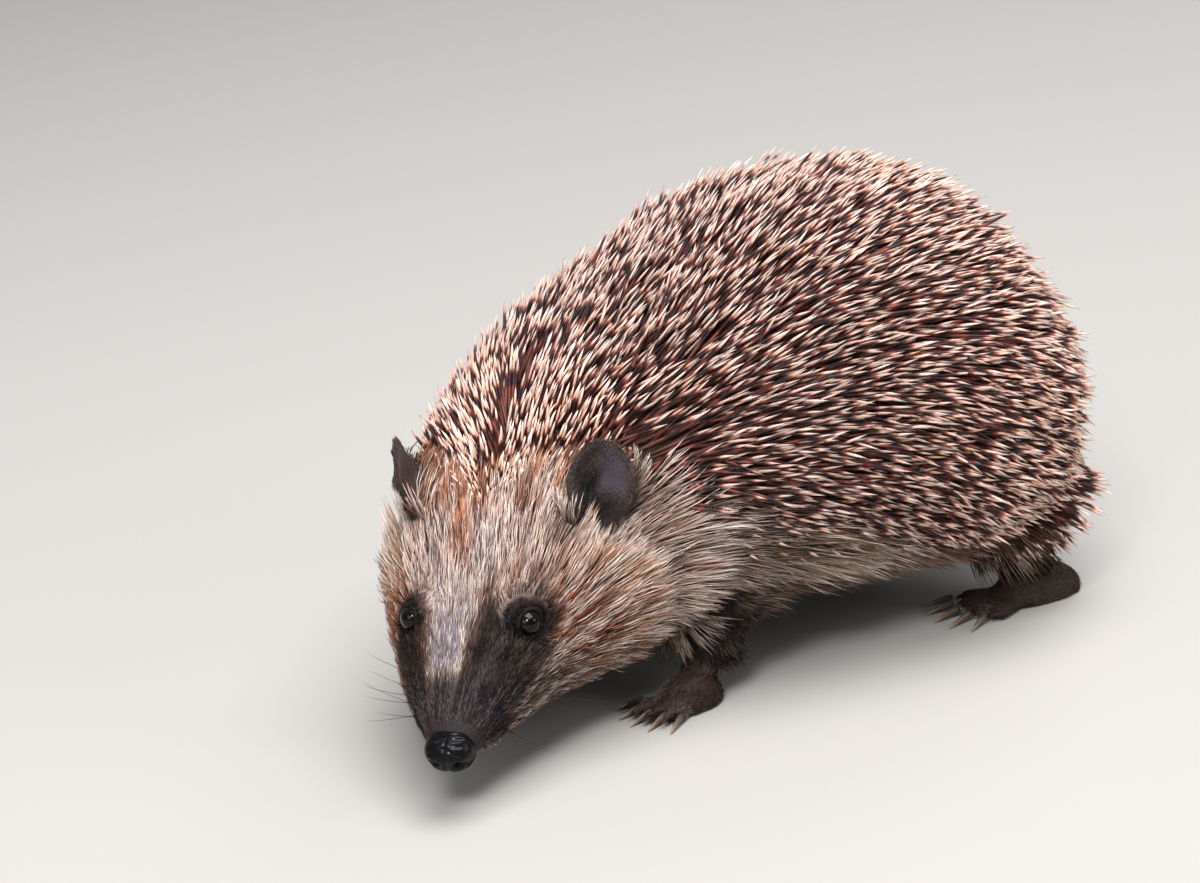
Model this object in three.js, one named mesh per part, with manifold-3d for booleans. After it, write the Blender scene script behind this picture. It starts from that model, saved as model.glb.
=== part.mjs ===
// A life-size European hedgehog in a slow walking stance, head low and turned to its left.
// Millimetres, +Z up. The animal faces -Y and its own left side is +X. The floor is z = 0.
// The solids are the animal's full outline, out to the tips of its spines and fur.
import * as THREE from "three";
import { mergeVertices } from "three/addons/utils/BufferGeometryUtils.js";
import Module from "manifold-3d";

const wasm = await Module();
wasm.setup();

// ---- driving dimensions ----
const GAP = 0.3; // clearance left between neighbouring solids
const MUZZLE_HEIGHT = 16.8; // centre of the muzzle's end above the floor
const AROUND = 36; // facets round the body

// Stations from the muzzle back to the tail. step is the distance from the one before, yaw and
// pitch are the heading of that step in degrees, and half, rise and drop are the section's half
// width, its height above the centre line and its depth below it.
const STATIONS = [
  { name: "muzzle_end", step: 0, yaw: 48, pitch: 25, half: 6.6, rise: 5.2, drop: 5.6 },
  { name: "muzzle", step: 8.0, yaw: 47, pitch: 24, half: 10.6, rise: 7.8, drop: 9.2 },
  { name: "muzzle_base", step: 10.6, yaw: 49, pitch: 23, half: 15.6, rise: 11.4, drop: 14.2 },
  { name: "eyes", step: 12.6, yaw: 48, pitch: 22, half: 20.6, rise: 17, drop: 19.8 },
  { name: "cheeks", step: 13, yaw: 42, pitch: 18, half: 28, rise: 25, drop: 24 },
  { name: "ears", step: 13, yaw: 38, pitch: 15, half: 35.5, rise: 34, drop: 28 },
  { name: "nape", step: 15, yaw: 34, pitch: 13, half: 42, rise: 41.5, drop: 31 },
  { name: "shoulders", step: 22.5, yaw: 23, pitch: 12, half: 52, rise: 49, drop: 36.5 },
  { name: "chest", step: 29, yaw: 12, pitch: 10, half: 59, rise: 58, drop: 40.5 },
  { name: "middle", step: 32.5, yaw: 4, pitch: 5, half: 62.5, rise: 67, drop: 43 },
  { name: "loins", step: 29, yaw: -3, pitch: -5, half: 63, rise: 66.5, drop: 41 },
  { name: "hips", step: 21.5, yaw: -7, pitch: -11, half: 56.5, rise: 53, drop: 36 },
  { name: "rump", step: 15.5, yaw: -7, pitch: -14, half: 44, rise: 36.5, drop: 30 },
  { name: "rump_end", step: 8.5, yaw: -9, pitch: -14, half: 27.5, rise: 21, drop: 20 },
  { name: "tail_root", step: 3.5, yaw: -9, pitch: -14, half: 13, rise: 9.5, drop: 9.5 },
];
const FULLNESS = 2.25; // exponent of the sections, 2 being an ellipse

// Nose pad: its half sizes, and where its centre stands from the muzzle's end.
const NOSE = { half: 5.8, tall: 4.6, deep: 4.8, ahead: 0.6, above: 0.3 };
const NOSTRIL = { radius: 1.25, apart: 2.9, below: 0.5, deep: 3.2 };

// Mouth: the lower jaw starts this far behind the muzzle's end, under a cut along the muzzle.
const JAW = { start: 5.5, below: 3.0 };

// Eyes: angle is taken round the section from the side, and proud is how far the ball stands out.
const EYE = { radius: 3.0, station: 2.95, angle: 43, proud: 0.9 };

// Ear: an oval cup of the given half sizes. Its long axis and the way it opens are given in the
// head's own directions.
const EAR = {
  station: 4.88, angle: 43, half: 9.8, tall: 13, deep: 5.4, wall: 2.1, out: 4.5,
  axis: { back: 0.34, left: 0.12, dorsal: 0.9 },
  opening: { back: -0.62, left: 0.76, dorsal: 0.1 },
};

// Legs: hip is where the leg starts inside the trunk, ankle is where it stands, yaw turns the toes.
const LEGS = [
  { name: "foreleg_left", hip: [-31, 90, 33], ankle: [-23, 80], yaw: 10, fore: true },
  { name: "foreleg_right", hip: [-80, 74, 33], ankle: [-86, 60], yaw: 28, fore: true },
  { name: "hindleg_left", hip: [-31, 184, 32], ankle: [-29, 188], yaw: -2, fore: false },
  { name: "hindleg_right", hip: [-90, 176, 32], ankle: [-91, 174], yaw: 8, fore: false },
];
const ANKLE_HEIGHT = 8.4; // where the leg ends and the foot begins
// thigh and shin are radii; length, half and tall size the foot; toe and claw are lengths.
const FORE = {
  thigh: 10.5, shin: 7.2, length: 21, half: 6.4, tall: 8.6, heel: 6, toe: 8.5, toeRadius: 2.3, claw: 6.5,
};
const HIND = {
  thigh: 12.5, shin: 6.8, length: 29, half: 6.8, tall: 8.8, heel: 12, toe: 9, toeRadius: 2.4, claw: 7,
};
const TOE_SPREAD = [-26, -12, 0, 12, 26]; // degrees
const TOE_SHARE = [0.72, 0.93, 1, 0.93, 0.74]; // each toe's length against the middle one
const CLAW_RADIUS = 1.05;
const CLAW_DROOP = 14; // degrees below level

const TAIL = { length: 19, radius: 4.4, tip: 1.2, pitch: -38 };

const rad = THREE.MathUtils.degToRad;
const UP = new THREE.Vector3(0, 0, 1);

// ---- centre line and sections of the body ----
function heading(yaw, pitch) {
  // Unit vector that runs from the nose towards the rump.
  const [y, p] = [rad(yaw), rad(pitch)];
  return new THREE.Vector3(-Math.sin(y) * Math.cos(p), Math.cos(y) * Math.cos(p), Math.sin(p));
}

const cursor = new THREE.Vector3(0, 0, MUZZLE_HEIGHT);
const centres = STATIONS.map((s) => cursor.addScaledVector(heading(s.yaw, s.pitch), s.step).clone());
const centreLine = new THREE.CatmullRomCurve3(centres, false, "centripetal");
const LAST = STATIONS.length - 1;
const station = (name) => STATIONS.findIndex((s) => s.name === name);

function eased(key, at) {
  // A station size at a fractional station number, by Catmull-Rom through the stations.
  const i = Math.min(Math.floor(at), LAST - 1);
  const size = (k) => STATIONS[THREE.MathUtils.clamp(k, 0, LAST)][key];
  const [a, b, c, d, t] = [size(i - 1), size(i), size(i + 1), size(i + 2), at - i];
  const bend = (2 * a - 5 * b + 4 * c - d) * t * t + (3 * b - a - 3 * c + d) * t ** 3;
  return 0.5 * (2 * b + (c - a) * t + bend);
}

function frameAt(at) {
  const t = THREE.MathUtils.clamp(at / LAST, 0, 1);
  const centre = centreLine.getPoint(t);
  const back = centreLine.getTangent(t);
  const left = new THREE.Vector3().crossVectors(back, UP).normalize();
  const dorsal = new THREE.Vector3().crossVectors(left, back).normalize();
  return { centre, back, left, dorsal };
}

function sectionPoint(at, angle, grow = 0) {
  const { centre, left, dorsal } = frameAt(at);
  const [c, s] = [Math.cos(angle), Math.sin(angle)];
  const bulge = (x) => Math.sign(x) * Math.abs(x) ** (2 / FULLNESS);
  const across = (eased("half", at) + grow) * bulge(c);
  const tall = (eased(s > 0 ? "rise" : "drop", at) + grow) * bulge(s);
  return centre.addScaledVector(left, across).addScaledVector(dorsal, tall);
}

// A point given by its share of the head's own directions at a station.
function along(at, { back = 0, left = 0, dorsal = 0 }) {
  const f = frameAt(at);
  const v = new THREE.Vector3().addScaledVector(f.back, back);
  return v.addScaledVector(f.left, left).addScaledVector(f.dorsal, dorsal);
}

// ---- closed meshes and solids ----
function solidOf(geometry) {
  const g = geometry.clone().deleteAttribute("normal").deleteAttribute("uv");
  const merged = mergeVertices(g, 1e-4);
  const vertProperties = merged.attributes.position.array;
  const triVerts = new Uint32Array(merged.index.array);
  return new wasm.Manifold(new wasm.Mesh({ numProp: 3, vertProperties, triVerts }));
}

function geometryOf(solid) {
  const made = solid.getMesh();
  const g = new THREE.BufferGeometry();
  g.setAttribute("position", new THREE.BufferAttribute(made.vertProperties, 3));
  g.setIndex(new THREE.BufferAttribute(made.triVerts, 1));
  return g;
}

// A sphere whose rings are laid on place(ring number, angle): the way every soft form is made.
function formed(around, rings, place) {
  const g = new THREE.SphereGeometry(1, around, rings);
  const { position, uv } = g.attributes;
  for (let i = 0; i < position.count; i++) {
    const p = place(Math.round((1 - uv.getY(i)) * rings), uv.getX(i) * 2 * Math.PI);
    position.setXYZ(i, p.x, p.y, p.z);
  }
  return solidOf(g);
}

// One length of the body between two stations, with flat ends in the section planes.
function bodyLength(from, to, rings, grow = 0) {
  return formed(AROUND, rings, (ring, angle) => {
    if (ring === 0) return frameAt(from).centre;
    if (ring === rings) return frameAt(to).centre;
    return sectionPoint(from + ((to - from) * (ring - 1)) / (rings - 2), angle, grow);
  });
}

// The place one gap in front of a station, for the end of the length that meets it there.
function before(at) {
  const stride = 0.01;
  const travel = frameAt(at).centre.distanceTo(frameAt(at - stride).centre) / stride;
  return at - GAP / travel;
}

// A round limb along a curve, its radius running evenly through the list of radii.
function limb(points, radii, around = 12, rings = 8) {
  const line = new THREE.CatmullRomCurve3(points);
  return formed(around, rings, (ring, angle) => {
    const t = THREE.MathUtils.clamp((ring - 1) / (rings - 2), 0, 1);
    const centre = line.getPoint(t);
    if (ring === 0 || ring === rings) return centre;
    const way = line.getTangent(t);
    const side = new THREE.Vector3(1, 0, 0).cross(way).normalize();
    const other = new THREE.Vector3().crossVectors(side, way);
    const place = t * (radii.length - 1);
    const i = Math.min(Math.floor(place), radii.length - 2);
    const radius = THREE.MathUtils.lerp(radii[i], radii[i + 1], place - i);
    centre.addScaledVector(side, -radius * Math.cos(angle));
    return centre.addScaledVector(other, -radius * Math.sin(angle));
  });
}

function ball(radii, around = 16, rings = 8) {
  const g = new THREE.SphereGeometry(1, around, rings).rotateX(Math.PI / 2);
  return solidOf(g.scale(...radii));
}

function block(x, y, z, centre = [0, 0, 0]) {
  return solidOf(new THREE.BoxGeometry(x, y, z).translate(...centre));
}

// Turns a solid so that its own x, y and z run along the given directions, then moves it.
function set(solid, x, y, z, origin) {
  return solid.transform(new THREE.Matrix4().makeBasis(x, y, z).setPosition(origin).elements);
}

const finish = {
  spines: new THREE.MeshStandardMaterial({ color: "#7c5c48", roughness: 0.75, metalness: 0 }),
  fur: new THREE.MeshStandardMaterial({ color: "#a98a6b", roughness: 0.9, metalness: 0 }),
  dark: new THREE.MeshStandardMaterial({ color: "#4b3b34", roughness: 0.9, metalness: 0 }),
  nose: new THREE.MeshStandardMaterial({ color: "#141214", roughness: 0.25, metalness: 0 }),
  eye: new THREE.MeshStandardMaterial({ color: "#0b0809", roughness: 0.05, metalness: 0 }),
  ear: new THREE.MeshStandardMaterial({ color: "#4a4448", roughness: 0.7, metalness: 0 }),
  foot: new THREE.MeshStandardMaterial({ color: "#5a463c", roughness: 0.8, metalness: 0 }),
};

const group = new THREE.Group();
function add(name, solid, material) {
  const mesh = new THREE.Mesh(geometryOf(solid), material);
  mesh.name = name;
  group.add(mesh);
}

// ---- trunk, neck and head ----
const NECK_START = station("ears") + 0.35;
const LENGTHS = {
  trunk: [station("shoulders"), LAST, 25],
  neck: [NECK_START, before(station("shoulders")), 8],
  head: [station("muzzle_base"), before(NECK_START), 12],
};
const trunk = bodyLength(...LENGTHS.trunk);
const neck = bodyLength(...LENGTHS.neck);
let head = bodyLength(...LENGTHS.head);
let muzzle = bodyLength(station("muzzle_end"), before(station("muzzle_base")), 8);
const grown = Object.values(LENGTHS).map((length) => bodyLength(...length, GAP));
const bodyGrown = grown.reduce((whole, length) => whole.add(length));

// ---- nose and mouth ----
const tip = frameAt(0);
const forward = tip.back.clone().negate();
const noseCentre = tip.centre.clone().addScaledVector(forward, NOSE.ahead);
noseCentre.addScaledVector(tip.dorsal, NOSE.above);
const pad = (grow) => ball([NOSE.half + grow, NOSE.deep + grow, NOSE.tall + grow], 16, 10);
const rightward = tip.left.clone().negate();
const inNose = (solid) => set(solid, rightward, tip.back, tip.dorsal, noseCentre);
let nose = pad(0);
for (const side of [-1, 1]) {
  const nostril = ball([NOSTRIL.radius, NOSTRIL.deep, NOSTRIL.radius * 0.8], 8, 6);
  const turned = nostril.rotate([0, 0, -28 * side]);
  nose = nose.subtract(turned.translate([side * NOSTRIL.apart, -NOSE.deep, -NOSTRIL.below]));
}
muzzle = muzzle.subtract(inNose(pad(GAP)));

const underMouth = (top, start) =>
  set(block(60, 60, 20, [0, start + 30, -top - 10]), rightward, tip.back, tip.dorsal, tip.centre);
const jaw = muzzle.intersect(underMouth(JAW.below + GAP, JAW.start));
muzzle = muzzle.subtract(underMouth(JAW.below, -20));

// ---- eyes ----
const eyes = ["left", "right"].map((side) => {
  const angle = rad(side === "left" ? EYE.angle : 180 - EYE.angle);
  const surface = sectionPoint(EYE.station, angle);
  const outward = sectionPoint(EYE.station, angle, 1).sub(surface).normalize();
  const centre = surface.clone().addScaledVector(outward, EYE.proud - EYE.radius);
  const eyeball = (grow) => ball(Array(3).fill(EYE.radius + grow)).translate(centre.toArray());
  return { name: `eye_${side}`, eyeball };
});
for (const eye of eyes) head = head.subtract(eye.eyeball(GAP));

// ---- ears ----
const ears = ["left", "right"].map((side) => {
  const s = side === "left" ? 1 : -1;
  const mirrored = (v) => ({ ...v, left: v.left * s });
  const surface = sectionPoint(EAR.station, rad(90 - s * (90 - EAR.angle)));
  const long = along(EAR.station, mirrored(EAR.axis)).normalize();
  const open = along(EAR.station, mirrored(EAR.opening));
  open.addScaledVector(long, -open.dot(long)).normalize();
  const across = new THREE.Vector3().crossVectors(open, long);
  const hollow = [EAR.half - EAR.wall, EAR.deep, EAR.tall - EAR.wall];
  const cup = ball([EAR.half, EAR.deep, EAR.tall], 14, 10);
  const shell = cup.subtract(ball(hollow, 12, 7).translate([0, -EAR.wall, 0]));
  const origin = surface.addScaledVector(long, EAR.out);
  const solid = set(shell, across, open.negate(), long, origin);
  return { name: `ear_${side}`, solid: solid.subtract(bodyGrown) };
});

// ---- legs and feet ----
// A foot in its own directions: the ankle over the origin, toes towards -Y, sole near the floor.
function foot({ length, half, tall, heel, toe, toeRadius, claw }) {
  const pad = ball([half, length / 2, tall], 14, 8).translate([0, heel - length / 2, tall * 0.15]);
  const digits = TOE_SPREAD.map((spread, i) => {
    const long = toe * TOE_SHARE[i];
    const digit = solidOf(new THREE.CapsuleGeometry(toeRadius, long, 2, 6));
    const nail = solidOf(new THREE.ConeGeometry(CLAW_RADIUS, claw, 5)).rotate([180 + CLAW_DROOP, 0, 0]);
    const nailed = nail.translate([0, -long - toeRadius * 0.5 - claw * 0.35, toeRadius * 0.8]);
    const placed = digit.translate([0, -long / 2, toeRadius * 0.75]).add(nailed).rotate([0, 0, spread]);
    return placed.translate([half * 0.34 * (i - 2), heel - length + 4.5, 0]);
  });
  return digits.reduce((whole, digit) => whole.add(digit), pad);
}

const underFloor = block(90, 90, 40, [0, 0, -20]);
const aboveAnkle = block(90, 90, 60, [0, 0, ANKLE_HEIGHT + 30]);
const belowAnkle = block(90, 90, 60, [0, 0, ANKLE_HEIGHT + GAP - 30]);
const legs = LEGS.map(({ name, hip, ankle, yaw, fore }) => {
  const size = fore ? FORE : HIND;
  const [top, end] = [new THREE.Vector3(...hip), new THREE.Vector3(...ankle, 3)];
  const bend = top.clone().lerp(end, 0.5).add(new THREE.Vector3(0, fore ? 4 : -4, 0));
  const place = (solid) => solid.translate([...ankle, 0]);
  return {
    name,
    leg: limb([top, bend, end], [size.thigh, size.thigh * 0.8, size.shin]).subtract(place(belowAnkle)),
    foot: place(foot(size).rotate([0, 0, yaw]).subtract(underFloor.add(aboveAnkle))),
  };
});

// ---- tail ----
const rear = frameAt(LAST);
const tailWay = heading(STATIONS[LAST].yaw, TAIL.pitch);
const tailStart = rear.centre.clone().addScaledVector(rear.dorsal, -3).addScaledVector(tailWay, -8);
const tailEnd = tailStart.clone().addScaledVector(tailWay, TAIL.length);
const tailRadii = [TAIL.radius, TAIL.radius * 0.8, TAIL.tip];
const tail = limb([tailStart, tailStart.clone().lerp(tailEnd, 0.5), tailEnd], tailRadii);

// ---- the named nodes ----
add("trunk", trunk, finish.spines);
add("neck", neck, finish.spines);
add("head", head, finish.fur);
add("muzzle", muzzle, finish.dark);
add("lower_jaw", jaw, finish.fur);
add("nose", inNose(nose), finish.nose);
for (const eye of eyes) add(eye.name, eye.eyeball(0), finish.eye);
for (const ear of ears) add(ear.name, ear.solid, finish.ear);
for (const { name, leg, foot: paw } of legs) {
  add(name, leg.subtract(bodyGrown), finish.dark);
  add(name.replace("leg", "foot"), paw.subtract(bodyGrown), finish.foot);
}
const trunkEnd = trunk.translate(rear.back.clone().multiplyScalar(GAP).toArray());
add("tail", tail.subtract(bodyGrown).subtract(trunkEnd), finish.dark);

// The origin goes to the middle of the outline on the floor.
const middle = new THREE.Box3().setFromObject(group).getCenter(new THREE.Vector3());
for (const mesh of group.children) mesh.geometry.translate(-middle.x, -middle.y, 0);

export default group;
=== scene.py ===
"""A life-size European hedgehog: one skin, banded spines over the back, and soft fur on the face,
flanks, belly and legs. Every spine and hair is a closed rod, drawn once and copied."""

import math

import bmesh
import bpy
import numpy as np
from mathutils import Matrix, Vector, noise
from mathutils.bvhtree import BVHTree
from mathutils.kdtree import KDTree


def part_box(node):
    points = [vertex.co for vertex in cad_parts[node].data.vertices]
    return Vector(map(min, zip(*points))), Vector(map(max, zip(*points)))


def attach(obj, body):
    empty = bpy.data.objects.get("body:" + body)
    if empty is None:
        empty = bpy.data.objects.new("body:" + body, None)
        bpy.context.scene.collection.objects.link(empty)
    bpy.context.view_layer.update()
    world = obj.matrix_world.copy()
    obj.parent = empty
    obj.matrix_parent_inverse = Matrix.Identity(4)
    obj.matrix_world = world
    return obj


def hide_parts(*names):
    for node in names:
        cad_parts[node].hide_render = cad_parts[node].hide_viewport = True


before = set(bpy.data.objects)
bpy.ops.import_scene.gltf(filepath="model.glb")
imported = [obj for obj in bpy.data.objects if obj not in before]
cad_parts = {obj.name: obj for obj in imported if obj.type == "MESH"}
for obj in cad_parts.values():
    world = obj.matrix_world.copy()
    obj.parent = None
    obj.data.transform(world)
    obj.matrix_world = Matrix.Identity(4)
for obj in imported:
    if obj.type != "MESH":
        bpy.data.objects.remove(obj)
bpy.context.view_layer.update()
bpy.ops.object.select_all(action="DESELECT")

MM = 0.001
rng = np.random.default_rng(11)
TRIANGLES_IN_A_PIECE = 190000

# ---- small helpers ----


def linear(colour):
    """An sRGB hex colour as three linear values."""
    parts = [int(colour[i : i + 2], 16) / 255 for i in (1, 3, 5)]
    return tuple(c / 12.92 if c <= 0.04045 else ((c + 0.055) / 1.055) ** 2.4 for c in parts)


def feed(made, inputs):
    """Sets a node's inputs, or links them where an output is given."""
    for key, value in inputs.items():
        if isinstance(value, bpy.types.NodeSocket):
            made.id_data.links.new(value, made.inputs[key])
        else:
            made.inputs[key].default_value = value


def node(tree, kind, settings=None, inputs=None, output=0, stops=()):
    """Adds a shader node with its properties, its inputs and the stops of its colour ramp, each a
    place and a hex colour, and gives one of its outputs."""
    made = tree.nodes.new("ShaderNode" + kind)
    for key, value in (settings or {}).items():
        setattr(made, key, value)
    if stops:
        elements = made.color_ramp.elements
        while len(elements) < len(stops):
            elements.new(0.5)
        for element, (place, colour) in zip(elements, stops):
            element.position = place
            element.color = (*linear(colour), 1)
    feed(made, inputs or {})
    return made.outputs[output]


def new_material(name, **surface_levels):
    """A material with a Principled surface at the given levels, and its tree and surface node."""
    material = bpy.data.materials.new(name)
    material.use_nodes = True
    surface = material.node_tree.nodes["Principled BSDF"]
    feed(surface, {key.replace("_", " "): value for key, value in surface_levels.items()})
    return material, material.node_tree, surface


def unit(v):
    """Each row at a length of 1."""
    return v / np.maximum(np.linalg.norm(v, axis=-1, keepdims=True), 1e-12)


def ease(x, low, high):
    """0 below low, 1 above high, easing between."""
    t = np.clip((x - low) / (high - low), 0, 1)
    return t * t * (3 - 2 * t)


def band(x, low, high, soft):
    """1 between low and high and 0 outside, easing over soft to each side of both."""
    return ease(x, low - soft, low + soft) * (1 - ease(x, high - soft, high + soft))


def select_only(obj):
    bpy.ops.object.select_all(action="DESELECT")
    obj.select_set(True)
    bpy.context.view_layer.objects.active = obj


def apply_modifier(obj, kind, **settings):
    modifier = obj.modifiers.new(kind.lower(), kind)
    for key, value in settings.items():
        setattr(modifier, key, value)
    select_only(obj)
    bpy.ops.object.modifier_apply(modifier=modifier.name)


def smooth_outwards(obj):
    """Turns every face to point outwards, and shades them smoothly."""
    select_only(obj)
    bpy.ops.object.mode_set(mode="EDIT")
    bpy.ops.mesh.select_all(action="SELECT")
    bpy.ops.mesh.normals_make_consistent(inside=False)
    bpy.ops.object.mode_set(mode="OBJECT")
    bpy.ops.object.shade_smooth()


def read(items, key, width=3, kind=np.float32):
    """One property of all items, such as the place of every vertex, as rows of numbers."""
    values = np.empty(len(items) * width, kind)
    items.foreach_get(key, values)
    return values.reshape(-1, width).astype(float if kind == np.float32 else kind)


def put_vertices(mesh, points):
    mesh.vertices.foreach_set("co", points.astype(np.float32).ravel())
    mesh.update()


def set_attribute(mesh, name, values):
    """A number or a colour at every vertex."""
    colour = values.ndim == 2
    layer = mesh.attributes.new(name, "FLOAT_COLOR" if colour else "FLOAT", "POINT")
    if colour:
        values = np.concatenate([values, np.ones((len(values), 1))], axis=1)
    layer.data.foreach_set("color" if colour else "value", values.astype(np.float32).ravel())


def middle(points):
    """The middle of the points' box."""
    return (points.min(0) + points.max(0)) / 2


def node_points(name):
    return read(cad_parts[name].data.vertices, "co")


# ---- camera, floor and light ----
# degrees, metres from the place looked at, and millimetres of lens
CAMERA = {"azimuth": 61.56, "elevation": 18.0, "roll": 3.73, "distance": 0.818, "lens": 99.0}
LOOKED_AT = Vector((0.0029, -0.0307, 0.060))


def add_camera():
    a, e, r = (math.radians(CAMERA[k]) for k in ("azimuth", "elevation", "roll"))
    back = Vector((math.sin(a) * math.cos(e), -math.cos(a) * math.cos(e), math.sin(e)))
    right = Vector((0, 0, 1)).cross(back).normalized()
    up = back.cross(right)
    turned = right * math.cos(r) - up * math.sin(r)
    stood = up * math.cos(r) + right * math.sin(r)
    stand = LOOKED_AT + back * CAMERA["distance"]
    bpy.ops.object.camera_add()
    camera = bpy.context.object
    rows = [[turned[i], stood[i], back[i], stand[i]] for i in range(3)]
    camera.matrix_world = Matrix([*rows, [0, 0, 0, 1]])
    camera.data.sensor_width = 36.0
    camera.data.lens = CAMERA["lens"]
    camera.data.clip_start, camera.data.clip_end = 0.01, 20
    bpy.context.scene.camera = camera


def add_light(name, place, size, power, colour, aim=(0, 0, 0.05)):
    """A soft square light at place, turned to aim."""
    bpy.ops.object.light_add(type="AREA", location=place)
    light = bpy.context.object
    light.name = name
    light.data.shape = "SQUARE"
    light.data.size, light.data.energy, light.data.color = size, power, linear(colour)
    light.rotation_euler = (Vector(aim) - Vector(place)).to_track_quat("-Z", "Y").to_euler()


def add_studio():
    # painted board, matt and pale
    paint, _, surface = new_material("matt_floor_paint", Roughness=0.9, Specular_IOR_Level=0.1)
    feed(surface, {"Base Color": (*linear("#b4b2ae"), 1)})
    bpy.ops.mesh.primitive_plane_add(size=12, location=(0, 0, 0))
    floor = bpy.context.object
    floor.name = "studio_floor"
    floor.data.materials.append(paint)
    add_light("sky_light", (0.3, 0.1, 1.5), 1.2, 32, "#fffdff")
    add_light("front_light", (0.8, -1.55, 0.9), 0.8, 5, "#ffffff")
    add_light("back_light", (-0.9, 1.3, 1.0), 0.9, 7, "#fcfcff")
    add_light("side_light", (1.1, 1.0, 0.8), 0.7, 4, "#fffdfa")
    add_light("small_light", (0.72, -0.62, 0.86), 0.28, 8, "#ffffff")
    world = bpy.data.worlds.new("studio_air")
    world.use_nodes = True
    air = world.node_tree.nodes["Background"]
    feed(air, {"Color": (*linear("#ecebf0"), 1), "Strength": 0.3})
    bpy.context.scene.world = world
    bpy.context.scene.view_settings.view_transform = "Standard"


# ---- the body's own directions ----
AXIS_SAMPLES = 240
TRUNK_SLICES = (0.36, 0.5, 0.64, 0.76)  # shares of the trunk's length where its middle is taken
SLICE_HALF = 7 * MM
AXIS_SMOOTHINGS = 60
RUMP_ROUND = 45 * MM  # radius that the far end is unrolled with


def body_axis():
    """A line from the nose to the middle of the rump, with its back, left and dorsal directions."""
    stops = [middle(node_points(n)) for n in ("nose", "muzzle", "head", "neck")]
    trunk = node_points("trunk")
    low, high = trunk[:, 1].min(), trunk[:, 1].max()
    for share in TRUNK_SLICES:
        y = low + (high - low) * share
        cut = trunk[np.abs(trunk[:, 1] - y) < SLICE_HALF]
        stops.append(np.array([middle(cut)[0], y, middle(cut)[2]]))
    stops = np.array(stops)
    reach = np.r_[0, np.cumsum(np.linalg.norm(np.diff(stops, axis=0), axis=1))]
    even = np.linspace(0, reach[-1], AXIS_SAMPLES)
    line = np.stack([np.interp(even, reach, stops[:, k]) for k in range(3)], 1)
    for _ in range(AXIS_SMOOTHINGS):
        line[1:-1] = (line[:-2] + 2 * line[1:-1] + line[2:]) / 4
    run = np.r_[0, np.cumsum(np.linalg.norm(np.diff(line, axis=0), axis=1))]
    back = unit(np.gradient(line, axis=0))
    left = unit(np.cross(back, (0, 0, 1.0)))
    return {"line": line, "run": run, "back": back, "left": left, "dorsal": np.cross(left, back)}


AXIS = body_axis()


def on_body(points):
    """Where points lie on the body. run is millimetres back from the nose, turn is degrees round
    from the spine line with the animal's left positive, round is its size, across and up are
    millimetres from the axis, and back, left and dorsal are the body's directions there."""
    parts = np.array_split(points, max(1, len(points) // 6000))
    line = AXIS["line"]
    size = (line**2).sum(1)
    nearest = np.concatenate([(size[None] - 2 * part @ line.T).argmin(1) for part in parts])
    away = points - line[nearest]
    back, left, dorsal = (AXIS[k][nearest] for k in ("back", "left", "dorsal"))
    across, up, past = (away * left).sum(1), (away * dorsal).sum(1), (away * back).sum(1)
    beyond = RUMP_ROUND * np.arctan2(np.maximum(past, 0), np.hypot(across, up))
    run = AXIS["run"][nearest] + np.where(nearest == AXIS_SAMPLES - 1, beyond, 0)
    turn = np.degrees(np.arctan2(across, up))
    where = {"run": (run + np.where(nearest == 0, past, 0)) / MM, "turn": turn, "round": np.abs(turn)}
    where |= {"across": across / MM, "up": up / MM, "back": back, "left": left, "dorsal": dorsal}
    return where | {"points": points}


def ripple(points, size):
    """Soft noise between about -1 and 1 with bumps of the given size, to break up an edge."""
    return np.array([noise.noise(Vector(p)) for p in (points / size).tolist()]) * 1.6


# ---- parts that the coat and the skin treat in their own way ----
LEGS = [f"{end}leg_{side}" for end in ("fore", "hind") for side in ("left", "right")]
FEET = [name.replace("leg", "foot") for name in LEGS]
SIDES = {"left": 1, "right": -1}
# an ear's half width and height, the depth of its hollow, its thickness, and how far its middle
# lies ahead of the back of its solid
EAR = {"half": 9.4 * MM, "tall": 13.0 * MM, "cup": 4.3 * MM, "thick": 2.0 * MM, "deep": 5.4 * MM}
EAR_LENGTHWAYS = (0.34, 0.12, 0.9)  # shares of back, outward and dorsal
EAR_OPENING = {"left": (-0.62, 0.76, 0.1), "right": (-0.46, 0.88, 0.1)}
EAR_RAISED = {"left": 1.2 * MM, "right": -2.5 * MM}


def eye_centre(side):
    return np.array(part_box(f"eye_{side}")).mean(0)


def eye_distance(points):
    """Millimetres to the middle of the nearer eye."""
    return np.min([np.linalg.norm(points - eye_centre(s), axis=1) for s in SIDES], axis=0) / MM


def eye_way(side):
    """The direction an eye looks, away from the axis and a little forward, and the way back
    along the body there."""
    centre = eye_centre(side)
    nearest = ((centre - AXIS["line"]) ** 2).sum(1).argmin()
    away = unit(centre - AXIS["line"][nearest])
    return unit(away - 0.62 * AXIS["back"][nearest]), AXIS["back"][nearest]


def ear_frame(side):
    """The middle of an ear solid, and its directions across, towards its opening and along."""
    points = node_points(f"ear_{side}")
    body = on_body(middle(points)[None])
    ways = np.array([body["back"][0], SIDES[side] * body["left"][0], body["dorsal"][0]])
    along = unit(np.array(EAR_LENGTHWAYS) @ ways)
    opening = np.array(EAR_OPENING[side]) @ ways
    opening = unit(opening - along * (opening @ along))
    across = np.cross(opening, along)
    centre = along * ((points @ along).max() - EAR["tall"] + EAR_RAISED[side])
    centre = centre + opening * ((points @ opening).min() + EAR["deep"])
    return centre + across * middle(points @ across), across, opening, along


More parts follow.
